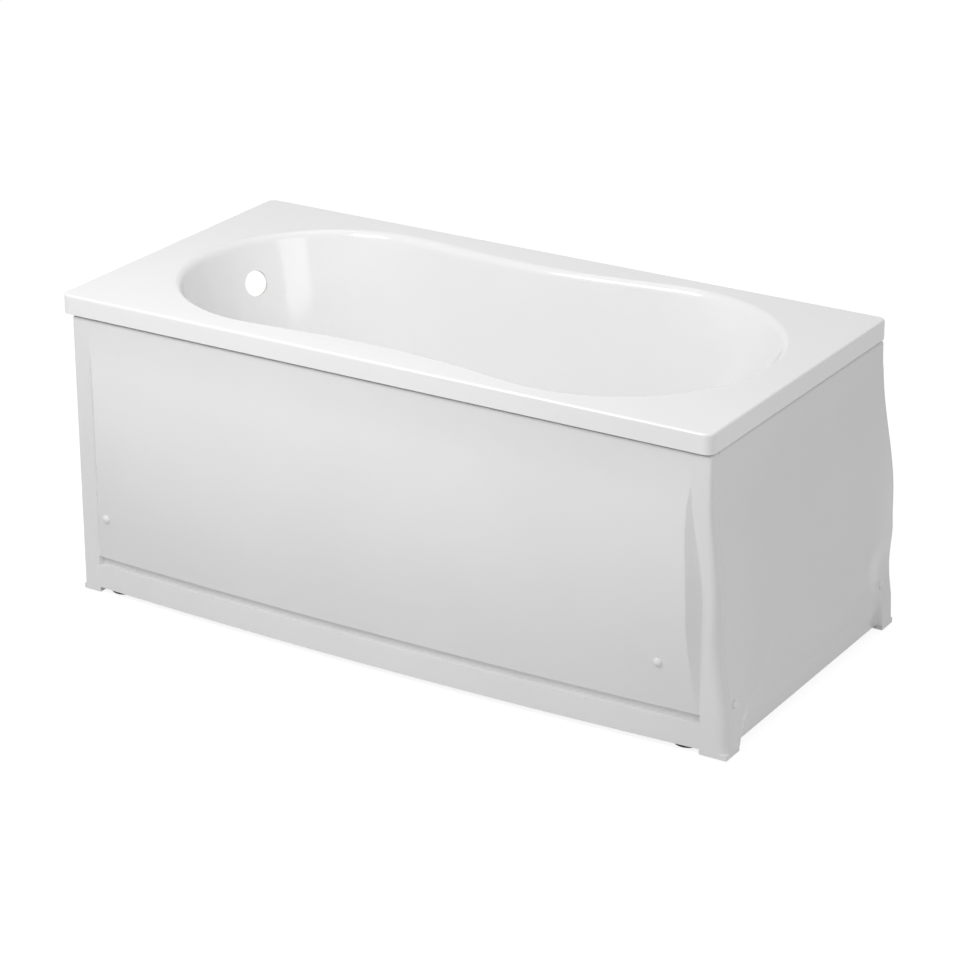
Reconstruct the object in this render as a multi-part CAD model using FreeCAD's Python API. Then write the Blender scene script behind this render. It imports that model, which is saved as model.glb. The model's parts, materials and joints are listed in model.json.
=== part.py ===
import FreeCAD, Part
import math
import os

# Rectangular acrylic bathtub on a levelling frame, with a moulded front panel and a moulded end panel.
# Millimetres, +Z up. X runs along the tub from the drain end (-) to the head end (+), and -Y is the front.
# The model is drawn about the middle of the rim, then set down with the middle of its footprint on the origin.

V = FreeCAD.Vector
UP = V(0, 0, 1)

# ---------------------------------------------------------------- driving dimensions
# Tub shell
rim_length = 1400.0
rim_width = 700.0
deck_height = 615.0
shell_wall = 5.0
lip_drop = 38.5
rim_corner_radius = 18.0
rim_edge_round = 5.0
basin_depth = 400.0
basin_edge_round = 18.0
edge_round_sweep = 0.975
basin_floor_round = 70.0
edge_strip_count = 5
wall_strip_count = 5
floor_strip_count = 6
drain_deck = 94.0
head_deck = 74.0
drain_side_deck = 64.0
head_side_deck = 47.0
drain_end_roundness = 0.97
head_end_roundness = 1.0
armrest_depth = 30.0
armrest_x = -20.0
armrest_ease = 0.5
drain_wall_run = 0.276
head_wall_run = 0.50
side_wall_run = 0.20
waste_hole_radius = 26.0
waste_inset = 330.0
drain_recess_radius = 45.0
drain_recess_depth = 3.0
overflow_y = 98.0
overflow_drop = 87.0

# Boards and battens bonded under the shell
board_head_inset = 276.0
board_side_inset = 185.0
board_thickness = 16.0
board_corner_radius = 25.0
board_bond = 0.15
batten_width = 22.0
batten_thickness = 18.0
batten_end_gap = 30.0
block_length = 80.0
block_width = 46.0
block_setback = 4.0
bond_gap = 0.3

# Steel frame
rail_size = 30.0
rail_wall = 2.0
long_rail_inset = 150.0
rail_end_overhang = 15.0
upright_size = 25.0
upright_wall = 2.0
top_plate_length = 70.0
top_plate_thickness = 4.0
drain_legs_inset = 88.0
head_legs_inset = 55.0
side_legs_inset = 50.0
middle_leg_x = 20.0
middle_rail_overhang = 15.0

# Bolts and screws
bolt_radius = 4.0
bolt_flats = 13.0
bolt_head = 5.5
bolt_nut = 6.5
bolt_end = 2.0
hole_clearance = 0.3
thread_clearance = 0.05
wood_screw_radius = 2.5
wood_screw_depth = 10.0
wood_screw_flats = 8.0
wood_screw_head = 3.2
block_screw_radius = 1.8
block_screw_depth = 12.0
block_screw_spread = 24.0
block_screw_flats = 7.0
block_screw_head = 2.8
pilot_extra = 1.0

# Levelling feet
stud_radius = 6.0
stud_above_rail = 26.0
middle_stud_above_rail = 14.0
stud_hole_radius = 6.5
pad_radius = 28.0
pad_rim_height = 8.0
pad_height = 22.0
pad_boss_radius = 11.0
stud_seat_height = 6.0
nut_across_flats = 19.0
nut_height = 10.0
stud_chamfer = 1.0

# Panels
panel_wall = 4.0
panel_return = 24.0
panel_top_gap = 3.5
front_setback = 8.0
end_setback = 2.0
front_left_inset = 18.0
end_rear_inset = 5.0
panel_joint_gap = 0.5
post_width = 39.0
valley_shift = 28.0
valley_shift_run = 220.0
band_height = 58.0
shoulder_round = 7.0
panel_section_count = 11
front_bulge = 23.0
front_bow = 20.0
slot_bottom = 60.0
slot_height = 20.0
slot_depth = 12.0
plinth_bottom = 13.0
foot_bottom = 3.0
corner_round = 8.0
corner_round_foot = 22.0
corner_round_run = 400.0
leg_belly = 19.0
leg_belly_drop = 15.0
leg_belly_run = 230.0
leg_flare = 25.0
leg_flare_height = 240.0
leg_flare_run = 220.0
end_bulge = 22.0
end_bow = 4.0
end_foot_recess = 12.0
end_front_edge = 1.5
end_front_post = 26.0
end_front_post_spread = 92.0
end_post_spread_run = 240.0
end_front_ease_foot = 20.0
end_front_ease = 150.0
end_front_ease_run = 300.0
end_rear_post = 45.0
end_rear_ease_foot = 8.0
end_rear_ease = 90.0
end_rear_ease_run = 150.0

# Panel fixings
hanger_wall = 2.0
hanger_end_gap = 30.0
bracket_wall = 2.5
bracket_width = 24.0
bracket_tab = 34.0
front_cap_inset = 91.0
front_cap_above_rail = 7.0
end_cap_height = 96.0
cap_radius = 8.5
cap_height = 5.0
cap_edge = 1.2
hanger_screw_radius = 1.75
hanger_screw_depth = 12.0
hanger_screw_flats = 5.5
hanger_screw_head = 2.0
bracket_screw_radius = 2.0
bracket_screw_length = 6.0
bracket_screw_flats = 7.0
bracket_screw_head = 2.6
bracket_screw_drop = 12.0
panel_screw_radius = 2.5
panel_screw_hole = 2.9
panel_screw_length = 20.0
panel_screw_head_radius = 4.5
panel_screw_head = 2.6
tab_hole_radius = 4.0
seat_gap = 0.2
cap_clearance = 0.6

# ---------------------------------------------------------------- derived sizes
drain_tip = -(rim_length / 2 - drain_deck)
head_tip = rim_length / 2 - head_deck
drain_half_width = rim_width / 2 - drain_side_deck
head_half_width = rim_width / 2 - head_side_deck
drain_x = -(rim_length / 2 - waste_inset)
drain_legs_x = -(rim_length / 2 - drain_legs_inset)
head_legs_x = rim_length / 2 - head_legs_inset
legs_y = rim_width / 2 - side_legs_inset
front_cap_x = rim_length / 2 - front_cap_inset
deck_underside = deck_height - shell_wall
lip_bottom = deck_height - lip_drop
lip_inner_x = rim_length / 2 - shell_wall
lip_inner_y = rim_width / 2 - shell_wall
floor_underside = deck_height - basin_depth - shell_wall
board_top = floor_underside - board_bond
board_bottom = board_top - board_thickness
board_start = drain_x + drain_recess_radius + 3 * shell_wall
board_end = head_tip - board_head_inset
board_width = rim_width - 2 * board_side_inset
long_rail_y = legs_y - long_rail_inset
long_rail_bottom = board_bottom - rail_size
cross_rail_bottom = long_rail_bottom - rail_size
rail_top = cross_rail_bottom + rail_size
front_cap_height = rail_top + front_cap_above_rail
batten_bottom = deck_underside - batten_thickness
panel_top = lip_bottom - panel_top_gap
hanger_leg = panel_return - shoulder_round
field_top = panel_top - band_height
field_bottom = slot_bottom + slot_height
front_face = rim_width / 2 - front_setback
front_back = front_face - panel_return
end_face = rim_length / 2 - end_setback
end_back = end_face - panel_return
front_left = -(rim_length / 2 - front_left_inset)
end_front = -(front_back - panel_joint_gap)
end_rear = rim_width / 2 - end_rear_inset
cross_rail_length = 2 * legs_y + upright_size
middle_rail_length = 2 * long_rail_y + 2 * middle_rail_overhang
block_outer_y = front_back - block_setback
drain_top_centre = drain_tip + drain_half_width * drain_end_roundness
head_top_centre = head_tip - head_half_width * head_end_roundness

# Handle length that makes a cubic curve follow a quarter of an ellipse.
QUARTER = 0.5523

nodes = {}


# ---------------------------------------------------------------- small tools
def smooth_step(value):
    """Ease from 0 to 1, flat at both ends."""
    value = min(1.0, max(0.0, value))
    return value * value * (3 - 2 * value)


def spaced(low, high, count):
    return [low + (high - low) * i / (count - 1) for i in range(count)]


def box(x_low, x_high, y_low, y_high, z_low, z_high):
    return Part.makeBox(x_high - x_low, y_high - y_low, z_high - z_low, V(x_low, y_low, z_low))


def rounded_box(x_low, x_high, y_low, y_high, z_low, z_high, radius):
    """A box whose upright edges are rounded."""
    body = box(x_low, x_high, y_low, y_high, z_low, z_high)
    upright = [e for e in body.Edges if abs(e.tangentAt(e.FirstParameter).z) > 0.99]
    return body.makeFillet(radius, upright)


def cylinder(radius, base, direction, length):
    return Part.makeCylinder(radius, length, base, direction)


def square_tube(size, wall, start, direction, length):
    """Square tube centred on the line from start along direction."""
    def bar(width):
        half = width / 2
        block = Part.makeBox(width, width, length, V(-half, -half, 0))
        block.Placement = FreeCAD.Placement(start, FreeCAD.Rotation(UP, direction))
        return block
    return bar(size).cut(bar(size - 2 * wall))


def hexagon(across_flats, base, height):
    radius = across_flats / math.sqrt(3)
    corners = [base + V(radius * math.cos(math.radians(60 * i)), radius * math.sin(math.radians(60 * i)), 0)
               for i in range(7)]
    return Part.Face(Part.makePolygon(corners)).extrude(V(0, 0, height))


def round_screw(base, direction, shank_radius, shank_length, head_radius, head_height):
    """Screw with a round head, whose underside is at base, and a shank that runs along direction."""
    head = Part.makeCone(head_radius, 0.75 * head_radius, head_height, base, direction * -1)
    return head.fuse(Part.makeCylinder(shank_radius, shank_length, base, direction))


def hex_screw(base, direction, shank_radius, shank_length, flats, head_height):
    """Screw or bolt with a hexagonal head, whose underside is at base."""
    head = hexagon(flats, V(0, 0, 0), head_height)
    head.Placement = FreeCAD.Placement(base, FreeCAD.Rotation(UP, direction * -1))
    return head.fuse(Part.makeCylinder(shank_radius, shank_length, base, direction))


def fuse_all(pieces):
    return pieces[0].multiFuse(pieces[1:]).removeSplitter()


# ---------------------------------------------------------------- tub shell
def wall_offset(depth, run, grow):
    """How far the basin's wall stands out of its line on the deck at a depth; run is the wall's slope.

    The wall turns into the deck by the edge round and into the floor by the floor round. The edge round
    meets the deck at a slight angle, as a formed sheet does.
    """
    slant = math.hypot(1, run)
    edge_depth = basin_edge_round * edge_round_sweep
    floor_start = basin_depth - basin_floor_round
    edge_radius = basin_edge_round - grow
    floor_radius = basin_floor_round + grow
    if depth < edge_depth - edge_radius * run / slant:
        centre = basin_edge_round * slant - run * edge_depth
        return centre - math.sqrt(max(0.0, edge_radius ** 2 - (edge_depth - depth) ** 2))
    if depth > floor_start + floor_radius * run / slant:
        centre = -basin_floor_round * slant - run * floor_start
        return centre + math.sqrt(max(0.0, floor_radius ** 2 - (depth - floor_start) ** 2))
    return grow * slant - run * depth


def basin_wire(depth, grow):
    """Plan of the basin at a depth: half an ellipse at each end, joined past the armrests' waist."""
    side_offset = wall_offset(depth, side_wall_run, grow)
    drain_width = drain_half_width + side_offset
    head_width = head_half_width + side_offset
    drain_x_tip = drain_tip - wall_offset(depth, drain_wall_run, grow)
    head_x_tip = head_tip + wall_offset(depth, head_wall_run, grow)
    drain_reach = drain_width * drain_end_roundness
    head_reach = head_width * head_end_roundness
    drain_centre = drain_x_tip + drain_reach
    head_centre = head_x_tip - head_reach
    shallow = 1 - min(depth, basin_depth) / basin_depth
    waist = (drain_width + head_width) / 2 - armrest_depth * shallow
    waist_x = armrest_x + (drain_centre + head_centre - drain_top_centre - head_top_centre) / 2
    drain_span, head_span = waist_x - drain_centre, head_centre - waist_x
    drain_ease, head_ease = 0.22 * drain_span, 0.26 * head_span
    half = [[(drain_x_tip, 0), (drain_x_tip, QUARTER * drain_width),
             (drain_centre - QUARTER * drain_reach, drain_width), (drain_centre, drain_width)],
            [(drain_centre, drain_width), (drain_centre + drain_ease, drain_width),
             (waist_x - drain_span * armrest_ease, waist), (waist_x, waist)],
            [(waist_x, waist), (waist_x + head_span * armrest_ease, waist),
             (head_centre - head_ease, head_width), (head_centre, head_width)],
            [(head_centre, head_width), (head_centre + QUARTER * head_reach, head_width),
             (head_x_tip, QUARTER * head_width), (head_x_tip, 0)]]
    loop = [[(x, -y) for x, y in poles] for poles in half] + [poles[::-1] for poles in half[::-1]]
    edges = []
    for poles in loop:
        curve = Part.BezierCurve()
        curve.setPoles([V(x, y, deck_height - depth) for x, y in poles])
        edges.append(curve.toShape())
    return Part.Wire(edges)


def basin_depths(grow):
    """Depths of the basin's sections: round its edge, down its straight wall and round into its floor."""
    edge_depth = basin_edge_round * edge_round_sweep
    floor_start = basin_depth - basin_floor_round
    edge_radius = basin_edge_round - grow
    floor_radius = basin_floor_round + grow
    first = math.acos((edge_depth - grow) / edge_radius)
    edge = [edge_depth - edge_radius * math.cos(turn) for turn in spaced(first, math.pi / 2, edge_strip_count + 1)]
    wall = spaced(edge_depth, floor_start, wall_strip_count + 1)
    floor = [floor_start + floor_radius * math.sin(turn) for turn in spaced(0, math.pi / 2, floor_strip_count + 1)]
    return edge + wall[1:] + floor[1:]


def basin_body(grow):
    """The basin as a solid from deck to floor: its inside with no growth, its outside when grown."""
    return Part.makeLoft([basin_wire(depth, grow) for depth in basin_depths(grow)], True, True)


def edges_at(shape, test):
    return [e for e in shape.Edges if test(e)]


def skin_hit(solid, start, direction, reach=1000.0):
    """Where a ray leaves a solid, and the outward normal of the face there."""
    ray = Part.makeLine(start, start + direction * reach)
    point = max((v.Point for v in solid.common(ray).Vertexes), key=lambda p: (p - start).dot(direction))
    face = min(solid.Faces, key=lambda f: f.distToShape(Part.Vertex(point))[0])
    normal = face.normalAt(*face.Surface.parameter(point))
    if normal.dot(direction) < 0:
        normal = normal * -1
    return point, normal


def make_tub_shell(overflow_point, overflow_normal):
    half_x, half_y = rim_length / 2, rim_width / 2
    rim = rounded_box(-half_x, half_x, -half_y, half_y, lip_bottom, deck_height, rim_corner_radius)
    rim = rim.makeFillet(rim_edge_round, edges_at(rim, lambda e: e.BoundBox.ZMin > deck_height - 0.01))
    under = rounded_box(-lip_inner_x, lip_inner_x, -lip_inner_y, lip_inner_y,
                        lip_bottom - 1, deck_underside, rim_corner_radius - shell_wall)
    recess_base = V(drain_x, 0, floor_underside - drain_recess_depth)
    recess_pan = cylinder(drain_recess_radius + shell_wall, recess_base, UP, drain_recess_depth + shell_wall / 2)
    shell = rim.cut(under).multiFuse([basin_body(shell_wall), recess_pan])
    recess_floor = deck_height - basin_depth - drain_recess_depth
    recess = Part.makeCone(drain_recess_radius - drain_recess_depth, drain_recess_radius + drain_recess_depth,
                           2 * drain_recess_depth, V(drain_x, 0, recess_floor))
    hole_reach = 8 * shell_wall
    hole_start = overflow_point - overflow_normal * hole_reach
    return shell.cut([basin_body(0), recess, cylinder(waste_hole_radius, V(drain_x, 0, 0), UP, deck_height),
                      cylinder(waste_hole_radius, hole_start, overflow_normal, 2 * hole_reach)])


# ---------------------------------------------------------------- panels
def leg_sweep(z):
    """How far the corner posts of the head end stand out of the rim's line at a height."""
    return (leg_belly * smooth_step((field_top - leg_belly_drop - z) / leg_belly_run)
            + leg_flare * smooth_step((leg_flare_height - z) / leg_flare_run))


def front_bulge_at(z):
    along = (z - field_bottom) / (field_top - field_bottom)
    return front_bulge * math.sin(math.pi * min(1.0, max(0.0, along)))


def front_bow_at(z):
    return front_bow * max(0.0, (field_top - z) / (field_top - plinth_bottom))


def end_bulge_at(z):
    along = (z - plinth_bottom) / (field_top - plinth_bottom)
    along = min(1.0, max(0.0, along))
    return end_bulge * math.sin(math.pi * along) - end_foot_recess * (1 - along) ** 2


def end_bow_at(z):
    along = (z - plinth_bottom) / (field_top - plinth_bottom)
    return end_bow * math.sin(math.pi * min(1.0, max(0.0, along)))


def front_right(z):
    return end_face + leg_sweep(z)


def front_valleys(z):
    """Where the two corner posts of the front panel meet its field."""
    shift = valley_shift * smooth_step((field_top - z) / valley_shift_run)
    return front_left + post_width, end_face - post_width + shift


def end_valleys(z):
    spread = end_front_post_spread * smooth_step((z - plinth_bottom) / end_post_spread_run)
    return end_front + end_front_post + spread, end_rear - end_rear_post


def end_runs(z):
    """How wide the end panel's posts turn into its field: tight at the foot and soft above."""
    height = z - plinth_bottom
    front_more = (end_front_ease - end_front_ease_foot) * smooth_step(height / end_front_ease_run)
    rear_more = (end_rear_ease - end_rear_ease_foot) * smooth_step(height / end_rear_ease_run)
    return end_front_ease_foot + front_more, end_rear_ease_foot + rear_more


def panel_wire(point, z, ends, valleys, runs, face, field, bow, softness, corner, back, inset):
    """Closed plan of a panel at a height, seen as a solid block; inset shrinks it by the sheet's wall.

    point(u, v, z) places a point, u along the panel and v outwards. ends are the panel's two edges, valleys
    the inner edges of its posts, runs the widths in which each post turns into the field. face is the posts'
    level, field the level of the field between them, and bow the field's further rise to its middle.
    """
    left, right = ends[0] + inset, ends[1] - inset
    post, deep = face - inset, field - inset
    round_left = max(1.0, corner[0] - inset)
    round_right = max(1.0, corner[1] - inset)
    valley_left, valley_right = valleys
    diagonal = 1 - math.sqrt(0.5)

    def place(u, v):
        return point(u, v, z)

    def line(a, b):
        return Part.LineSegment(place(*a), place(*b)).toShape()

    def arc(a, b, c):
        return Part.Arc(place(*a), place(*b), place(*c)).toShape()

    def bezier(*poles):
        curve = Part.BezierCurve()
        curve.setPoles([place(*p) for p in poles])
        return curve.toShape()

    field_left = (valley_left + runs[0], deep)
    field_right = (valley_right - runs[1], deep)
    ease_left, ease_right = runs[0] * softness, runs[1] * softness
    middle = (field_left[0] + field_right[0]) / 2
    return Part.Wire([
        line((left, back), (left, post - round_left)),
        arc((left, post - round_left), (left + round_left * diagonal, post - round_left * diagonal),
            (left + round_left, post)),
        line((left + round_left, post), (valley_left, post)),
        bezier((valley_left, post), (valley_left + ease_left, post), (field_left[0] - ease_left, deep), field_left),
        bezier(field_left, (middle, deep + 2 * bow), field_right),
        bezier(field_right, (field_right[0] + ease_right, deep), (valley_right - ease_right, post),
               (valley_right, post)),
        line((valley_right, post), (right - round_right, post)),
        arc((right - round_right, post), (right - round_right * diagonal, post - round_right * diagonal),
            (right, post - round_right)),
        line((right, post - round_right), (right, back)),
        line((right, back), (left, back))])


def block(wire_at, heights):
    """Solid lofted through plans at the heights."""
    return Part.makeLoft([wire_at(z) for z in heights], True, True)


def on_front(u, v, z):
    return V(u, -v, z)


def on_end(u, v, z):
    return V(v, u, z)


def corner_round_at(z):
    return corner_round + (corner_round_foot - corner_round) * smooth_step((field_top - z) / corner_round_run)


def front_plan(z, level, run, inset, back):
    """Plan of the front panel at a height, with its field at a level relative to the posts."""
    return panel_wire(on_front, z, (front_left, front_right(z)), front_valleys(z), (run, run), front_face,
                      front_face + level, front_bow_at(z), 0.15, (corner_round, corner_round_at(z)), back, inset)


def end_plan(z, inset, back):
    face = end_face + leg_sweep(z)
    return panel_wire(on_end, z, (end_front, end_rear), end_valleys(z), end_runs(z), face,
                      face + end_bulge_at(z), end_bow_at(z), 0.45, (end_front_edge, corner_round), back, inset)


def front_mass(inset):
    """The front panel as a solid block, or its hollow when inset by the wall."""
    back = front_back - inset

    def band(z):
        return front_plan(z, 0, 3, inset, back)

    def field(z):
        bulge = front_bulge_at(z)
        return front_plan(z, bulge, 3 + 0.9 * bulge, inset, back)

    def slot(z):
        return front_plan(z, -slot_depth, 3, inset, back)

    def post(z, low_edge, high_edge):
        left, right = low_edge(z), high_edge(z)
        corners = [on_front(left, back, z), on_front(left, front_face - inset, z),
                   on_front(right, front_face - inset, z), on_front(right, back, z)]
        return Part.makePolygon(corners + corners[:1])

    def left_post(z):
        return post(z, lambda h: front_left + inset, lambda h: front_valleys(h)[0] - inset)

    def right_post(z):
        return post(z, lambda h: front_valleys(h)[1] + inset, lambda h: front_right(h) - inset)

    pieces = [block(band, [field_top, panel_top - inset]),
              block(field, spaced(field_bottom + inset, field_top, panel_section_count)),
              block(slot, [slot_bottom - inset, field_bottom + inset]),
              block(band, [plinth_bottom + inset, slot_bottom - inset]),
              block(left_post, [foot_bottom + inset, plinth_bottom + inset]),
              block(right_post, [foot_bottom + inset, plinth_bottom + inset])]
    return fuse_all(pieces)


def end_mass(inset):
    back = end_back - inset

    def plan(z):
        return end_plan(z, inset, back)

    def post(z, low, high):
        face = end_face + leg_sweep(z) - inset
        corners = [on_end(low, back, z), on_end(low, face, z), on_end(high, face, z), on_end(high, back, z)]
        return Part.makePolygon(corners + corners[:1])

    front_low, rear_low = end_valleys(plinth_bottom)

    def front_post(z):
        return post(z, end_front + inset, front_low - inset)

    def rear_post(z):
        return post(z, rear_low + inset, end_rear - inset)

    pieces = [block(plan, [field_top, panel_top - inset]),
              block(plan, spaced(plinth_bottom + inset, field_top, panel_section_count)),
              block(front_post, [foot_bottom + inset, plinth_bottom + inset]),
              block(rear_post, [foot_bottom + inset, plinth_bottom + inset])]
    return fuse_all(pieces)


# ---------------------------------------------------------------- build: shell and what is bonded to it
overflow_point, overflow_normal = skin_hit(basin_body(0), V(0, overflow_y, deck_height - overflow_drop), V(-1, 0, 0))
overflow_normal = overflow_normal * -1
nodes["tub_shell"] = make_tub_shell(overflow_point, overflow_normal)

board = rounded_box(board_start, board_end, -board_width / 2, board_width / 2,
                    board_bottom, board_top, board_corner_radius)


def batten(x_low, x_high, y_low, y_high):
    return box(x_low, x_high, y_low, y_high, batten_bottom, deck_underside)


batten_out_x = lip_inner_x - bond_gap
batten_out_y = lip_inner_y - bond_gap
batten_reach_x = lip_inner_x - rim_corner_radius - batten_end_gap
batten_reach_y = block_outer_y - block_width - batten_end_gap / 2
battens = {
    "rim_batten_front": batten(-batten_reach_x, batten_reach_x, -batten_out_y, -batten_out_y + batten_width),
    "rim_batten_back": batten(-batten_reach_x, batten_reach_x, batten_out_y - batten_width, batten_out_y),
    "rim_batten_drain_end": batten(-batten_out_x, -batten_out_x + batten_width, -batten_reach_y, batten_reach_y),
    "rim_batten_head_end": batten(batten_out_x - batten_width, batten_out_x, -batten_reach_y, batten_reach_y)}

# ---------------------------------------------------------------- build: frame and feet
leg_places = {"front_drain": (drain_legs_x, -legs_y), "back_drain": (drain_legs_x, legs_y),
              "front_head": (head_legs_x, -legs_y), "back_head": (head_legs_x, legs_y)}
foot_places = dict(leg_places, middle=(middle_leg_x, 0.0))
cross_rails = {"cross_rail_drain_end": (drain_legs_x, cross_rail_length),
               "cross_rail_middle": (middle_leg_x, middle_rail_length),
               "cross_rail_head_end": (head_legs_x, cross_rail_length)}
board_screw_places = [(board_start + (board_end - board_start) * share, side * long_rail_y)
                      for share in (0.15, 0.42, 0.85) for side in (-1, 1)]

frame_bolts, frame_nuts, lock_nuts, board_screws, upright_screws = [], [], [], [], []

for name, (x, length) in cross_rails.items():
    rail = square_tube(rail_size, rail_wall, V(x, -length / 2, cross_rail_bottom + rail_size / 2), V(0, 1, 0), length)
    for foot_x, foot_y in foot_places.values():
        if foot_x == x:
            rail = rail.cut(cylinder(stud_hole_radius, V(foot_x, foot_y, cross_rail_bottom - 1), UP, rail_size + 2))
    for side in (-1, 1):
        rail = rail.cut(cylinder(bolt_radius + hole_clearance, V(x, side * long_rail_y, cross_rail_bottom - 1),
                                 UP, rail_size + 2))
    nodes[name] = rail

for name, side in (("long_rail_front", -1), ("long_rail_back", 1)):
    y = side * long_rail_y
    start = drain_legs_x - rail_end_overhang
    length = head_legs_x - drain_legs_x + 2 * rail_end_overhang
    rail = square_tube(rail_size, rail_wall, V(start, y, long_rail_bottom + rail_size / 2), V(1, 0, 0), length)
    for x, _ in cross_rails.values():
        rail = rail.cut(cylinder(bolt_radius + hole_clearance, V(x, y, long_rail_bottom - 1), UP, rail_wall + 2))
        frame_bolts.append(hex_screw(V(x, y, cross_rail_bottom), UP, bolt_radius,
                                     rail_size + rail_wall + bolt_nut + bolt_end, bolt_flats, bolt_head))
        nut = hexagon(bolt_flats, V(x, y, long_rail_bottom + rail_wall), bolt_nut)
        frame_nuts.append(nut.cut(cylinder(bolt_radius + thread_clearance, V(x, y, long_rail_bottom), UP, rail_size)))
    for x, screw_y in board_screw_places:
        if screw_y == y:
            rail = rail.cut(cylinder(wood_screw_radius + hole_clearance, V(x, y, long_rail_bottom - 1),
                                     UP, rail_size + 2))
            board_screws.append(hex_screw(V(x, y, long_rail_bottom), UP, wood_screw_radius,
                                          rail_size + wood_screw_depth, wood_screw_flats, wood_screw_head))
            board = board.cut(cylinder(wood_screw_radius + thread_clearance, V(x, y, board_bottom),
                                       UP, wood_screw_depth + pilot_extra))
    nodes[name] = rail

nodes["base_board"] = board


def corner_piece(x, y, length, low, high):
    """Block or plate under a deck corner, flush with the corner blocks' outer face."""
    outer = math.copysign(block_outer_y, y)
    inner = math.copysign(block_outer_y - block_width, y)
    return box(x - length / 2, x + length / 2, min(outer, inner), max(outer, inner), low, high)


for place, (x, y) in leg_places.items():
    corner = corner_piece(x, y, block_length, batten_bottom, deck_underside)
    plate = corner_piece(x, y, top_plate_length, batten_bottom - top_plate_thickness, batten_bottom)
    tube_base = cross_rail_bottom + rail_size
    tube = square_tube(upright_size, upright_wall, V(x, y, tube_base), UP,
                       batten_bottom - top_plate_thickness - tube_base)
    screw_y = math.copysign(block_outer_y - block_width / 2, y)
    for side in (-1, 1):
        at = V(x + side * block_screw_spread, screw_y, batten_bottom - top_plate_thickness)
        through = top_plate_thickness + block_screw_depth
        plate = plate.cut(cylinder(block_screw_radius + hole_clearance, at, UP, top_plate_thickness))
        corner = corner.cut(cylinder(block_screw_radius + thread_clearance, at, UP, through + pilot_extra))
        upright_screws.append(hex_screw(at, UP, block_screw_radius, through, block_screw_flats, block_screw_head))
    nodes["corner_block_" + place] = corner
    nodes["upright_" + place] = fuse_all([tube, plate])

for place, (x, y) in foot_places.items():
    stud_top = rail_top + (middle_stud_above_rail if place == "middle" else stud_above_rail)
    stud = cylinder(stud_radius, V(x, y, stud_seat_height), UP, stud_top - stud_seat_height)
    stud = stud.makeChamfer(stud_chamfer, edges_at(stud, lambda e: e.BoundBox.ZMin > stud_top - 0.01))
    nodes["foot_stud_" + place] = stud
    profile = [V(0, 0, 0), V(pad_radius, 0, 0), V(pad_radius, 0, pad_rim_height),
               V(pad_boss_radius, 0, pad_rim_height), V(pad_boss_radius, 0, pad_height),
               V(0, 0, pad_height), V(0, 0, 0)]
    pad = Part.Face(Part.makePolygon(profile)).revolve(V(0, 0, 0), UP, 360)
    pad.translate(V(x, y, 0))
    nodes["foot_pad_" + place] = pad.cut(cylinder(stud_radius + thread_clearance, V(x, y, stud_seat_height),
                                                  UP, pad_height))
    nut = hexagon(nut_across_flats, V(x, y, cross_rail_bottom - nut_height), nut_height)
    lock_nuts.append(nut.cut(cylinder(stud_radius + thread_clearance, V(x, y, 0), UP, deck_height)))

# ---------------------------------------------------------------- build: panels
def round_shoulder(mass, face, inset):
    """Round the long top outer edge, which shows below the rim's lip, by the shoulder's radius less the wall."""
    def test(edge):
        middle = edge.valueAt((edge.FirstParameter + edge.LastParameter) / 2)
        return (edge.Length > rim_width / 4 and middle.z > panel_top - inset - 0.01
                and max(-middle.y - front_face, middle.x - end_face) > -inset - 0.01)
    return mass.makeFillet(shoulder_round - inset, edges_at(mass, test))


front_block, front_hollow = [round_shoulder(front_mass(inset), front_face, inset) for inset in (0, panel_wall)]
end_block, end_hollow = [round_shoulder(end_mass(inset), end_face, inset) for inset in (0, panel_wall)]
front_panel = front_block.cut(front_hollow)
end_panel = end_block.cut(end_hollow)

# ---------------------------------------------------------------- build: hanger rails
def hanger_rail(point, u_low, u_high, back):
    """Channel under a batten, open outwards; its lower leg carries the panel's top flange."""
    web = back - bond_gap
    low = panel_top - panel_wall - hanger_wall

    def leg(v_low, v_high, z_low, z_high):
        a, b = point(u_low, v_low, z_low), point(u_high, v_high, z_high)
        return box(min(a.x, b.x), max(a.x, b.x), min(a.y, b.y), max(a.y, b.y), z_low, z_high)
    return fuse_all([leg(web - hanger_wall, web, low, batten_bottom),
                     leg(web - hanger_wall, web + hanger_leg, low, low + hanger_wall),
                     leg(web - hanger_wall, web + hanger_leg, batten_bottom - hanger_wall, batten_bottom)])


hanger_reach = batten_reach_x - hanger_end_gap
hanger_reach_end = batten_reach_y - hanger_end_gap
hangers = {"hanger_rail_front": (on_front, hanger_reach, front_back, "rim_batten_front", 6),
           "hanger_rail_head_end": (on_end, hanger_reach_end, end_back, "rim_batten_head_end", 3)}
hanger_screws = []
for name, (point, reach, back, batten_name, count) in hangers.items():
    rail = hanger_rail(point, -reach, reach, back)
    for u in spaced(-0.9 * reach, 0.9 * reach, count):
        at = point(u, back + hanger_leg / 2, batten_bottom - hanger_wall)
        rail = rail.cut(cylinder(hanger_screw_radius + hole_clearance, at - UP, UP, hanger_wall + 2))
        battens[batten_name] = battens[batten_name].cut(
            cylinder(hanger_screw_radius + thread_clearance, at, UP, hanger_screw_depth + pilot_extra))
        hanger_screws.append(hex_screw(at, UP, hanger_screw_radius, hanger_screw_depth,
                                       hanger_screw_flats, hanger_screw_head))
    nodes[name] = rail
nodes.update(battens)

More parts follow.
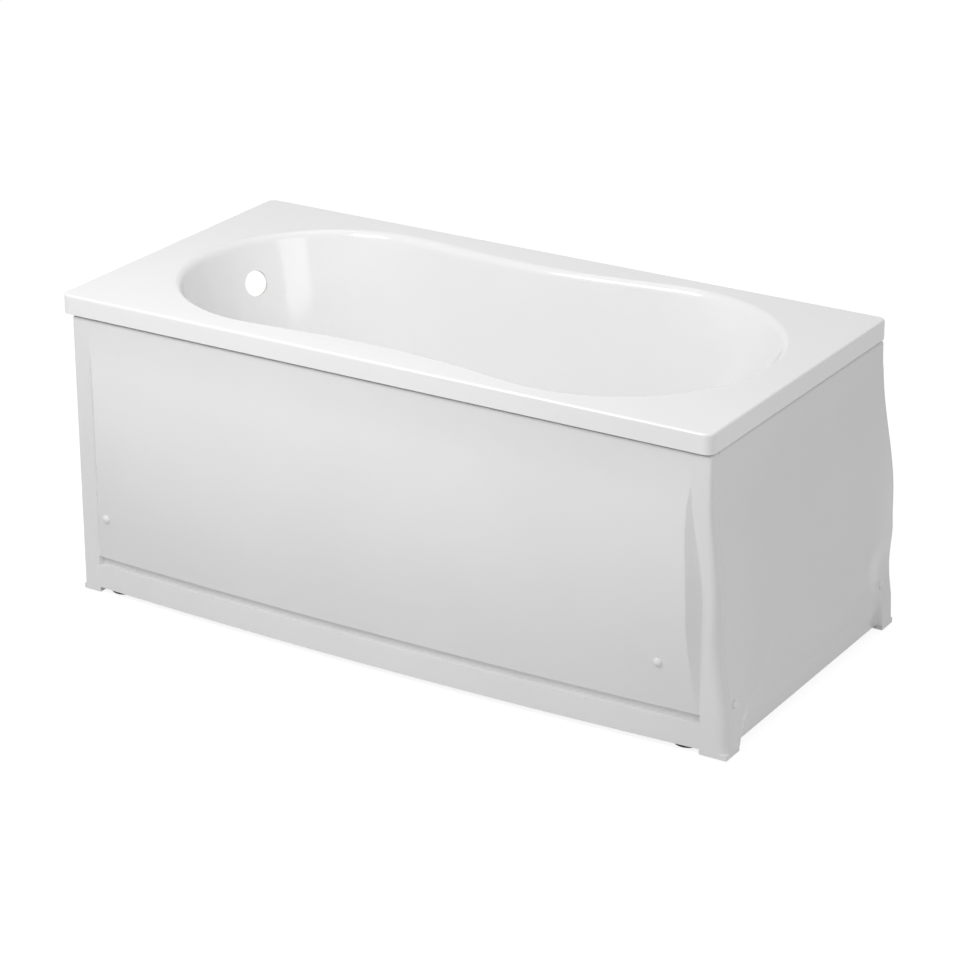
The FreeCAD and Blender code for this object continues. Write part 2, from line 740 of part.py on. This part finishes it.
# ---------------------------------------------------------------- build: brackets, panel screws and caps
half_tab = bracket_tab / 2
upright_face = legs_y + upright_size / 2
rail_face = head_legs_x + rail_size / 2
fixings = {
    "panel_bracket_front_drain": (on_front, -front_cap_x, front_cap_height, drain_legs_x, upright_face,
                                  front_cap_height + half_tab),
    "panel_bracket_front_head": (on_front, front_cap_x, front_cap_height, head_legs_x, upright_face,
                                 front_cap_height + half_tab),
    "panel_bracket_end_front": (on_end, -legs_y, end_cap_height, -legs_y, rail_face, rail_top),
    "panel_bracket_end_back": (on_end, legs_y, end_cap_height, legs_y, rail_face, rail_top)}


def panel_bracket(point, hollow, u, z, base_u, base_v, top):
    """Bent strap from the frame at base_v out to a tab behind the panel at (u, z)."""
    u_low = min(u, base_u) - bracket_width / 2
    u_high = max(u, base_u) + bracket_width / 2
    tab_low, tab_high = u - bracket_width / 2, u + bracket_width / 2
    low = z - half_tab
    outward = point(0, 1, 0)
    corners = [point(side, base_v, height) for side in (tab_low, tab_high) for height in (low, low + bracket_tab)]
    reach = min(skin_hit(hollow, corner, outward)[0].dot(outward) for corner in corners) - bond_gap

    def plate(side_low, side_high, v_low, v_high, z_low, z_high):
        a, b = point(side_low, v_low, z_low), point(side_high, v_high, z_high)
        return box(min(a.x, b.x), max(a.x, b.x), min(a.y, b.y), max(a.y, b.y), z_low, z_high)

    strap = fuse_all([plate(u_low, u_high, base_v, base_v + bracket_wall, low, top),
                      plate(tab_low, tab_high, base_v, reach, low, low + bracket_wall),
                      plate(tab_low, tab_high, reach - bracket_wall, reach, low, low + bracket_tab)])
    strap = strap.cut(cylinder(tab_hole_radius, point(u, reach - 2 * bracket_wall, z), outward, 4 * bracket_wall))
    screw_at = point(base_u, base_v + bracket_wall, top - bracket_screw_drop)
    strap = strap.cut(cylinder(bracket_screw_radius + hole_clearance, screw_at - outward * 4, outward, 8))
    screw = hex_screw(screw_at, outward * -1, bracket_screw_radius, bracket_screw_length,
                      bracket_screw_flats, bracket_screw_head)
    return strap, screw, screw_at


def screw_cap(at, normal):
    """Domed snap cap over a screw head."""
    rise = cap_height - cap_edge
    dome_radius = (cap_radius ** 2 + rise ** 2) / (2 * rise)
    cap = cylinder(cap_radius, V(0, 0, 0), UP, cap_height)
    cap = cap.common(Part.makeSphere(dome_radius, V(0, 0, cap_height - dome_radius)))
    cap = cap.cut(cylinder(panel_screw_head_radius + cap_clearance, V(0, 0, 0), UP,
                           panel_screw_head + cap_clearance))
    cap.Placement = FreeCAD.Placement(at + normal * seat_gap, FreeCAD.Rotation(UP, normal))
    return cap


panel_screws, bracket_screws = [], []
caps = {"screw_caps_front": [], "screw_caps_end": []}
for name, (point, u, z, base_u, base_v, top) in fixings.items():
    is_front = point == on_front
    outside, hollow = (front_block, front_hollow) if is_front else (end_block, end_hollow)
    strap, screw, screw_at = panel_bracket(point, hollow, u, z, base_u, base_v, top)
    nodes[name] = strap
    bracket_screws.append(screw)
    outward = point(0, 1, 0)
    hole = cylinder(bracket_screw_radius + thread_clearance, screw_at - outward * 12, outward, 12)
    for carrier in ("upright_front_drain", "upright_front_head", "cross_rail_head_end"):
        if nodes[carrier].common(hole).Volume > 0.001:
            nodes[carrier] = nodes[carrier].cut(hole)
    at, normal = skin_hit(outside, point(u, base_v, z), outward)
    panel_screws.append(round_screw(at + normal * seat_gap, normal * -1, panel_screw_radius, panel_screw_length,
                                    panel_screw_head_radius, panel_screw_head))
    hole = cylinder(panel_screw_hole, at - normal * 2 * panel_wall, normal, 4 * panel_wall)
    if is_front:
        front_panel = front_panel.cut(hole)
    else:
        end_panel = end_panel.cut(hole)
    caps["screw_caps_front" if is_front else "screw_caps_end"].append(screw_cap(at, normal))

nodes["front_panel"] = front_panel
nodes["end_panel"] = end_panel
for name, group in list(caps.items()) + [
        ("lock_nuts", lock_nuts), ("frame_bolts", frame_bolts), ("frame_nuts", frame_nuts),
        ("board_screws", board_screws), ("upright_screws", upright_screws), ("hanger_screws", hanger_screws),
        ("bracket_screws", bracket_screws), ("panel_screws", panel_screws)]:
    nodes[name] = Part.makeCompound(group)

# ---------------------------------------------------------------- set down and write
extent = Part.makeCompound([nodes["tub_shell"], front_panel, end_panel]).optimalBoundingBox(False, False)
footprint_middle = V((extent.XMin + extent.XMax) / 2, (extent.YMin + extent.YMax) / 2, 0)

os.makedirs("parts", exist_ok=True)
for name, shape in nodes.items():
    placed = shape.copy()
    placed.translate(footprint_middle * -1)
    placed.exportStep("parts/" + name + ".step")
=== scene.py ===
import json
import math

import bmesh
import bpy
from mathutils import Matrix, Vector
from mathutils.bvhtree import BVHTree


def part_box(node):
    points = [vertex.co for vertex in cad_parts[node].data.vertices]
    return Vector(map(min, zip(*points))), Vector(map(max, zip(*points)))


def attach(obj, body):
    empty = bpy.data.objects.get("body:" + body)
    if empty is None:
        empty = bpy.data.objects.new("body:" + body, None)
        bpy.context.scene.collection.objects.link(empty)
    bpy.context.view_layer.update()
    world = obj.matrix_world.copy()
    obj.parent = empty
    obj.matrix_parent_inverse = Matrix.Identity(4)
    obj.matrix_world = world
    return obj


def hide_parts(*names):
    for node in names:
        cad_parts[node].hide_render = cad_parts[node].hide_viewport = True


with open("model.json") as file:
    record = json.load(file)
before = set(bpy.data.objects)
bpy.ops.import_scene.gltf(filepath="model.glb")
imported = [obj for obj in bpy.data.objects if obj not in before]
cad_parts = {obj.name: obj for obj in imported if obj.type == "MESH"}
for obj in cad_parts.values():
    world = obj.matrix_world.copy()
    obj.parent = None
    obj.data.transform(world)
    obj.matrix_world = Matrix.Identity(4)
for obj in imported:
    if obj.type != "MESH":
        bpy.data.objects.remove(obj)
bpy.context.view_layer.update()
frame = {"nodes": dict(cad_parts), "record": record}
nodes = frame["nodes"]

# ---------------------------------------------------------------- camera, at the photograph's angle
CAMERA_PLACE = Vector((3.0568, -4.9510, 2.6712))
CAMERA_YAW = math.radians(31.62)
CAMERA_PITCH = math.radians(22.44)
CAMERA_LENS = 123.16
SENSOR_WIDTH = 36.0
CAMERA_REACH = 100.0

# ---------------------------------------------------------------- light
# Levels are shares of white: a surface of colour 1 that faces the light is seen that bright.
# Each softbox is its name, place, size and level.
FLOOR_SIZE = 60.0
SKY_LEVEL = 0.45
WHITE = (1, 1, 1, 1)
LIGHT_AIM = (0.0, 0.0, 0.4)
SOFTBOXES = [("key", (-0.5, -1.7, 2.0), 1.0, 0.46), ("top", (-0.2, 0.0, 3.0), 1.6, 0.10),
             ("fill", (3.2, -1.6, 1.6), 1.6, 0.11)]
# The colour lights the object by its bounce; the glow and the shade are what is seen of the floor.
FLOOR_COLOUR = (0.55, 0.55, 0.55, 1)
FLOOR_GLOW = 0.86
FLOOR_SHADE = (0.30, 0.30, 0.30, 1)

# ---------------------------------------------------------------- shading of nodes and pieces
WELD_DISTANCE = 0.00002
SMOOTH_ANGLE = math.radians(28)

# ---------------------------------------------------------------- backing of the tub, metres
LIP_ZONE = 0.024
LIP_DROP = 0.0385
LIP_EDGE = 0.001
DECK_SHEET = 0.003
FACES_DOWN = -0.5

# ---------------------------------------------------------------- threads of the studs, metres
THREAD_PITCH = 0.00175
THREAD_DEPTH = 0.0009
WAVE_REPEAT = math.pi / 10  # between the bands of a wave texture at scale 1

# ---------------------------------------------------------------- front panel's foot corner, metres
CORNER_MIDDLE = (0.699, -0.3079)
CORNER_RADIUS = 0.022
CORNER_POCKET = (0.7172, -0.3261)
CORNER_ANGLES = (math.radians(-58), math.radians(-32))
CORNER_STEPS = 8
LEDGE_HEIGHT = 0.013
WEB_TOP, WEB_WALL = 0.0175, 0.002

# ---------------------------------------------------------------- end panel's field, metres
# The moulded field swells low down and stays full up to the rear post, whose edge swells with it.
FIELD_FOOT, FIELD_TOP = 0.013, 0.515
FIELD_SWELL = 0.022
FIELD_LOW_PEAK = 0.8
FIELD_VALLEY, FIELD_RIDGE, FIELD_REAR = -0.235, 0.237, 0.352
REAR_FALL = 0.35
SWELL_START, SWELL_RUN = 0.097, 0.110
POST_FACE = 0.677
POST_BELLY, BELLY_TOP, BELLY_RUN = 0.019, 0.500, 0.230
POST_FLARE, FLARE_TOP, FLARE_RUN = 0.025, 0.240, 0.220
GRID_STEP = 0.016
OUTSIDE_X = 1.0


def add_object(name, data):
    """A new object, put into the scene."""
    made = bpy.data.objects.new(name, data)
    bpy.context.scene.collection.objects.link(made)
    return made


def make_camera():
    """The camera at the photograph's place and angle."""
    camera = add_object("camera", bpy.data.cameras.new("camera"))
    camera.data.sensor_width = SENSOR_WIDTH
    camera.data.lens = CAMERA_LENS
    camera.data.clip_end = CAMERA_REACH
    camera.location = CAMERA_PLACE
    camera.rotation_euler = (math.pi / 2 - CAMERA_PITCH, 0, CAMERA_YAW)
    bpy.context.scene.camera = camera


def make_softbox(name, place, aim, size, level):
    """A square soft lamp; level is how bright a white surface at its aim that faces it is seen."""
    reach = Vector(place) - Vector(aim)
    lamp = bpy.data.lights.new(name, "AREA")
    lamp.size = size
    lamp.energy = level * (math.pi * reach.length) ** 2
    holder = add_object(name, lamp)
    holder.location = place
    holder.rotation_euler = reach.to_track_quat("Z", "Y").to_euler()


def background_rays(tree):
    """1 for rays that see the background: from the camera, off gloss and through glass."""
    path = tree.nodes.new("ShaderNodeLightPath")
    seen = path.outputs["Is Camera Ray"]
    for other in ("Is Glossy Ray", "Is Transmission Ray"):
        either = tree.nodes.new("ShaderNodeMath")
        either.operation = "MAXIMUM"
        tree.links.new(seen, either.inputs[0])
        tree.links.new(path.outputs[other], either.inputs[1])
        seen = either.outputs[0]
    return seen


def mix_by(tree, factor, first, second):
    """Mix two shaders: the first at factor 0, the second at 1."""
    mix = tree.nodes.new("ShaderNodeMixShader")
    tree.links.new(factor, mix.inputs[0])
    tree.links.new(first, mix.inputs[1])
    tree.links.new(second, mix.inputs[2])
    return mix.outputs[0]


def make_world():
    """A plain pale sky that lights the object, and is seen as white."""
    world = bpy.data.worlds.new("studio")
    world.use_nodes = True
    tree = world.node_tree
    tree.nodes.clear()
    out = tree.nodes.new("ShaderNodeOutputWorld")
    sky = tree.nodes.new("ShaderNodeBackground")
    sky.inputs["Color"].default_value = WHITE
    sky.inputs["Strength"].default_value = SKY_LEVEL
    white = tree.nodes.new("ShaderNodeBackground")
    white.inputs["Color"].default_value = WHITE
    mixed = mix_by(tree, background_rays(tree), sky.outputs[0], white.outputs[0])
    tree.links.new(mixed, out.inputs["Surface"])
    bpy.context.scene.world = world


def make_floor():
    """A pale floor that is seen as white and keeps a light shadow of the object."""
    mesh = bpy.data.meshes.new("floor")
    half = FLOOR_SIZE / 2
    corners = [(-half, -half, 0), (half, -half, 0), (half, half, 0), (-half, half, 0)]
    mesh.from_pydata(corners, [], [(0, 1, 2, 3)])
    floor = add_object("floor", mesh)
    material = bpy.data.materials.new("floor")
    material.use_nodes = True
    tree = material.node_tree
    tree.nodes.clear()
    plain = tree.nodes.new("ShaderNodeBsdfDiffuse")
    plain.inputs["Color"].default_value = FLOOR_COLOUR
    shade = tree.nodes.new("ShaderNodeBsdfDiffuse")
    shade.inputs["Color"].default_value = FLOOR_SHADE
    glow = tree.nodes.new("ShaderNodeEmission")
    glow.inputs["Strength"].default_value = FLOOR_GLOW
    seen = tree.nodes.new("ShaderNodeAddShader")
    tree.links.new(shade.outputs[0], seen.inputs[0])
    tree.links.new(glow.outputs[0], seen.inputs[1])
    out = tree.nodes.new("ShaderNodeOutputMaterial")
    mixed = mix_by(tree, background_rays(tree), plain.outputs[0], seen.outputs[0])
    tree.links.new(mixed, out.inputs["Surface"])
    mesh.materials.append(material)


# ---------------------------------------------------------------- materials
class Build:
    """Small helper to write a node material step by step."""

    def __init__(self, name):
        self.material = bpy.data.materials.new(name)
        self.material.use_nodes = True
        self.tree = self.material.node_tree
        self.shader = self.tree.nodes["Principled BSDF"]
        self.place = self.tree.nodes.new("ShaderNodeTexCoord").outputs["Object"]

    def node(self, kind):
        return self.tree.nodes.new(kind)

    def link(self, start, end):
        self.tree.links.new(start, end)

    def noise(self, scale, detail=3.0, stretch=(1, 1, 1), roughness=0.5):
        """A cloudy 0-1 value over the object; a larger scale is finer."""
        mapping = self.node("ShaderNodeMapping")
        mapping.inputs["Scale"].default_value = stretch
        self.link(self.place, mapping.inputs["Vector"])
        noise = self.node("ShaderNodeTexNoise")
        noise.inputs["Scale"].default_value = scale
        noise.inputs["Detail"].default_value = detail
        noise.inputs["Roughness"].default_value = roughness
        self.link(mapping.outputs["Vector"], noise.inputs["Vector"])
        return noise.outputs["Fac"]

    def ramp(self, value, *stops):
        """A colour by a 0-1 value, through stops of position and colour."""
        ramp = self.node("ShaderNodeValToRGB")
        ramp.color_ramp.elements[0].position, ramp.color_ramp.elements[0].color = stops[0]
        ramp.color_ramp.elements[1].position, ramp.color_ramp.elements[1].color = stops[-1]
        for position, colour in stops[1:-1]:
            ramp.color_ramp.elements.new(position).color = colour
        self.link(value, ramp.inputs["Fac"])
        return ramp.outputs["Color"]

    def spread(self, value, low, high):
        """Remap a 0-1 value to a range."""
        remap = self.node("ShaderNodeMapRange")
        remap.inputs["To Min"].default_value = low
        remap.inputs["To Max"].default_value = high
        self.link(value, remap.inputs["Value"])
        return remap.outputs["Result"]

    def bump(self, height, distance, strength=1.0):
        """Relief by a 0-1 height, over any relief that is there already."""
        bump = self.node("ShaderNodeBump")
        bump.inputs["Distance"].default_value = distance
        bump.inputs["Strength"].default_value = strength
        self.link(height, bump.inputs["Height"])
        normal = self.shader.inputs["Normal"]
        if normal.is_linked:
            self.link(normal.links[0].from_socket, bump.inputs["Normal"])
        self.link(bump.outputs["Normal"], normal)

    def thread(self, pitch):
        """Even 0-1 bands up the object."""
        wave = self.node("ShaderNodeTexWave")
        wave.bands_direction = "Z"
        wave.inputs["Scale"].default_value = WAVE_REPEAT / pitch
        self.link(self.place, wave.inputs["Vector"])
        return wave.outputs["Fac"]

    def colour(self, value):
        self.link(value, self.shader.inputs["Base Color"])

    def rough(self, value):
        self.link(value, self.shader.inputs["Roughness"])

    def set(self, **sockets):
        names = {"specular": "Specular IOR Level", "coat": "Coat Weight", "coat_rough": "Coat Roughness",
                 "metallic": "Metallic"}
        for key, value in sockets.items():
            self.shader.inputs[names[key]].default_value = value
        return self


def grey(level, warmth=0.0):
    """A grey, or one a little warmer."""
    return (level + warmth, level, level - warmth, 1.0)


def acrylic_material():
    """Thermoformed white sheet: very smooth, with the faint ripple of a formed surface."""
    b = Build("acrylic")
    b.colour(b.ramp(b.noise(2.5, 2.0), (0.35, grey(0.90)), (0.65, grey(0.92, 0.001))))
    b.rough(b.spread(b.noise(40.0, 4.0), 0.10, 0.16))
    b.bump(b.noise(14.0, 2.0), 0.0006, 0.25)
    return b.set(specular=0.5, coat=0.25, coat_rough=0.05).material


def panel_material():
    """Vacuum-formed white panel: a little duller than the tub, with fine orange peel."""
    b = Build("panel_plastic")
    b.colour(b.ramp(b.noise(3.0, 2.0), (0.35, grey(0.82)), (0.65, grey(0.84, 0.001))))
    b.rough(b.spread(b.noise(55.0, 4.0), 0.20, 0.28))
    b.bump(b.noise(180.0, 2.0), 0.0003, 0.2)
    return b.set(specular=0.45).material


def cap_material():
    """White moulded screw caps."""
    b = Build("cap_plastic")
    b.colour(b.ramp(b.noise(60.0, 2.0), (0.3, grey(0.85)), (0.7, grey(0.88))))
    b.rough(b.spread(b.noise(300.0, 3.0), 0.22, 0.32))
    return b.set(specular=0.5).material


def laminate_material():
    """Back of the tub: resin and chopped glass fibre, sprayed on."""
    b = Build("laminate")
    strands = b.noise(90.0, 6.0, roughness=0.75)
    b.colour(b.ramp(strands, (0.30, (0.62, 0.61, 0.55, 1)), (0.55, (0.74, 0.73, 0.67, 1)),
                    (0.75, (0.82, 0.81, 0.76, 1))))
    b.rough(b.spread(strands, 0.45, 0.75))
    b.bump(strands, 0.002, 0.7)
    return b.set(specular=0.4).material


def board_material():
    """Raw particle board and softwood battens."""
    b = Build("board_wood")
    chips = b.noise(160.0, 5.0, (1.0, 2.2, 3.0), 0.7)
    b.colour(b.ramp(chips, (0.28, (0.33, 0.22, 0.12, 1)), (0.5, (0.56, 0.41, 0.25, 1)),
                    (0.72, (0.72, 0.57, 0.38, 1))))
    b.rough(b.spread(chips, 0.65, 0.9))
    b.bump(chips, 0.0012, 0.5)
    return b.set(specular=0.25).material


def frame_material():
    """Grey powder coat on the frame's tube, the hanger rails and the panel brackets."""
    b = Build("frame_steel")
    b.colour(b.ramp(b.noise(8.0, 3.0), (0.3, grey(0.30)), (0.7, grey(0.34))))
    b.rough(b.spread(b.noise(220.0, 3.0), 0.38, 0.55))
    b.bump(b.noise(650.0, 2.0), 0.0003, 0.5)
    return b.set(specular=0.45).material


def zinc_plate(name):
    """Bright zinc plate with the mottling of a passivated surface, to be finished by its caller."""
    b = Build(name)
    b.colour(b.ramp(b.noise(120.0, 4.0), (0.3, (0.55, 0.55, 0.52, 1)), (0.7, (0.72, 0.71, 0.66, 1))))
    b.rough(b.spread(b.noise(350.0, 4.0), 0.22, 0.40))
    b.bump(b.noise(900.0, 2.0), 0.0002, 0.4)
    return b.set(metallic=1.0)


def zinc_material():
    """Bolts, nuts and screws."""
    return zinc_plate("zinc_steel").material


def thread_material():
    """The feet's studs, with their rolled thread."""
    b = zinc_plate("stud_thread")
    b.bump(b.thread(THREAD_PITCH), THREAD_DEPTH)
    return b.material


def foot_material():
    """Black moulded nylon."""
    b = Build("foot_plastic")
    b.colour(b.ramp(b.noise(90.0, 3.0), (0.3, grey(0.018)), (0.7, grey(0.032))))
    b.rough(b.spread(b.noise(400.0, 4.0), 0.45, 0.65))
    b.bump(b.noise(700.0, 3.0), 0.0003, 0.5)
    return b.set(specular=0.4).material


MAKERS = {"acrylic": acrylic_material, "panel_plastic": panel_material, "cap_plastic": cap_material,
          "board_wood": board_material, "frame_steel": frame_material, "zinc_steel": zinc_material,
          "foot_plastic": foot_material}


def smooth_node(node):
    """Shade a node or piece as smooth across its surfaces' seams and sharp at its real edges."""
    node.data.polygons.foreach_set("use_smooth", [True] * len(node.data.polygons))
    weld = node.modifiers.new("weld", "WELD")
    weld.merge_threshold = WELD_DISTANCE
    split = node.modifiers.new("split", "EDGE_SPLIT")
    split.split_angle = SMOOTH_ANGLE
    weighted = node.modifiers.new("weighted", "WEIGHTED_NORMAL")
    weighted.keep_sharp = True


def dress_nodes():
    """Give each CAD node the material of its slot in the record, and the studs their thread."""
    made = {slot: maker() for slot, maker in MAKERS.items()}
    thread = thread_material()
    for part in frame["record"]["subparts"]:
        node = nodes[part["node"]]
        node.data.materials.clear()
        on_stud = part["node"].startswith("foot_stud")
        node.data.materials.append(thread if on_stud else made[part["material_slot"]])
        smooth_node(node)
    return made


def smooth_step(share):
    """Ease from 0 to 1 as share goes from 0 to 1."""
    share = min(1.0, max(0.0, share))
    return share * share * (3 - 2 * share)


def post_face(z):
    """How far out the end panel's posts stand at a height."""
    belly = POST_BELLY * smooth_step((BELLY_TOP - z) / BELLY_RUN)
    return POST_FACE + belly + POST_FLARE * smooth_step((FLARE_TOP - z) / FLARE_RUN)


def field_share(y):
    """The field's swell across the panel: a long rise to its ridge and a short fall to the rear."""
    if y < FIELD_RIDGE:
        across = max(0.0, (y - FIELD_VALLEY) / (FIELD_RIDGE - FIELD_VALLEY))
        return (smooth_step(across) + 1 - (1 - across) ** 2) / 2
    return 1 - REAR_FALL * min(1.0, (y - FIELD_RIDGE) / (FIELD_REAR - FIELD_RIDGE)) ** 2


def field_face(y, z):
    """Where the end panel's outer face stands at a place of its field."""
    along = min(1.0, max(0.0, (z - FIELD_FOOT) / (FIELD_TOP - FIELD_FOOT)))
    swell = FIELD_SWELL * math.sin(math.pi * along ** FIELD_LOW_PEAK)
    return post_face(z) + swell * field_share(y)


def cut_grid(form, axis, first, last):
    """Cut a mesh along even planes square to an axis, so that its long flat faces can curve."""
    across = Vector([1.0 if index == axis else 0.0 for index in range(3)])
    for step in range(1 + round((last - first) / GRID_STEP)):
        parts = form.verts[:] + form.edges[:] + form.faces[:]
        place = across * (first + step * GRID_STEP)
        bmesh.ops.bisect_plane(form, geom=parts, plane_co=place, plane_no=across)


def make_end_panel(node):
    """The end panel with the photograph's fuller field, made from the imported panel's sheet.

    Both faces of the sheet move out by what its outer face lacks there, so that the sheet keeps its wall.
    """
    mesh = node.data.copy()
    form = bmesh.new()
    form.from_mesh(mesh)
    bmesh.ops.remove_doubles(form, verts=form.verts[:], dist=WELD_DISTANCE)
    skin = BVHTree.FromBMesh(form)
    cut_grid(form, 1, FIELD_VALLEY, FIELD_REAR)
    cut_grid(form, 2, SWELL_START, FIELD_TOP)
    inwards = Vector((-1, 0, 0))
    for point in form.verts:
        place = point.co
        if place.y <= FIELD_VALLEY or not SWELL_START < place.z < FIELD_TOP:
            continue
        outer_face = skin.ray_cast(Vector((OUTSIDE_X, place.y, place.z)), inwards)[0]
        if outer_face:
            share = smooth_step((place.z - SWELL_START) / SWELL_RUN)
            place.x += share * (field_face(place.y, place.z) - outer_face.x)
    form.to_mesh(mesh)
    form.free()
    panel = add_object("end_panel_moulded", mesh)
    smooth_node(panel)
    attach(panel, "tub")
    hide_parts("end_panel")


def add_prism(points, faces, outline, low, high):
    """Add an upright solid of an outline to lists of points and faces."""
    first = len(points)
    count = len(outline)
    points.extend((x, y, low) for x, y in outline)
    points.extend((x, y, high) for x, y in outline)
    faces.append(tuple(first + index for index in reversed(range(count))))
    faces.append(tuple(first + count + index for index in range(count)))
    for index in range(count):
        after = (index + 1) % count
        faces.append((first + index, first + after, first + count + after, first + count + index))


def make_foot_corner(material):
    """The web that closes the front panel's rounded corner where it meets its square foot."""
    start, end = CORNER_ANGLES
    turns = [start + (end - start) * step / CORNER_STEPS for step in range(CORNER_STEPS + 1)]

    def arc(radius):
        return [(CORNER_MIDDLE[0] + radius * math.cos(turn), CORNER_MIDDLE[1] + radius * math.sin(turn))
                for turn in turns]

    inner = arc(CORNER_RADIUS - WEB_WALL)[::-1]
    bottom = LEDGE_HEIGHT - WEB_WALL
    points, faces = [], []
    add_prism(points, faces, inner + [CORNER_POCKET], bottom, LEDGE_HEIGHT)
    add_prism(points, faces, arc(CORNER_RADIUS) + inner, bottom, WEB_TOP)
    mesh = bpy.data.meshes.new("front_foot_corner")
    mesh.from_pydata(points, [], faces)
    mesh.materials.append(material)
    web = add_object("front_foot_corner", mesh)
    smooth_node(web)
    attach(web, "tub")


def line_underside(tub, laminate):
    """Glass-fibre laminate on the faces of the tub that the deck, the lip and the basin's inside hide."""
    low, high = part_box("tub_shell")
    middle = (low + high) / 2
    half = (high - low) / 2
    tub.data.materials.append(laminate)
    for face in tub.data.polygons:
        out = face.center - middle
        outward = face.normal.x * out.x / half.x + face.normal.y * out.y / half.y
        on_lip = abs(out.x) > half.x - LIP_ZONE or abs(out.y) > half.y - LIP_ZONE
        below_deck = face.center.z < high.z - DECK_SHEET
        looks_down = face.normal.z < FACES_DOWN
        if on_lip:
            lip_edge = face.center.z < high.z - LIP_DROP + LIP_EDGE
            hidden = below_deck and not lip_edge and (outward < 0 or looks_down)
        else:
            hidden = below_deck and (outward > 0 or looks_down)
        face.material_index = 1 if hidden else 0


make_camera()
make_world()
make_floor()
for lamp_name, lamp_place, lamp_size, lamp_level in SOFTBOXES:
    make_softbox(lamp_name, lamp_place, LIGHT_AIM, lamp_size, lamp_level)
materials = dress_nodes()
line_underside(nodes["tub_shell"], laminate_material())
make_end_panel(nodes["end_panel"])
make_foot_corner(materials["panel_plastic"])

bpy.context.scene.view_settings.view_transform = "Standard"
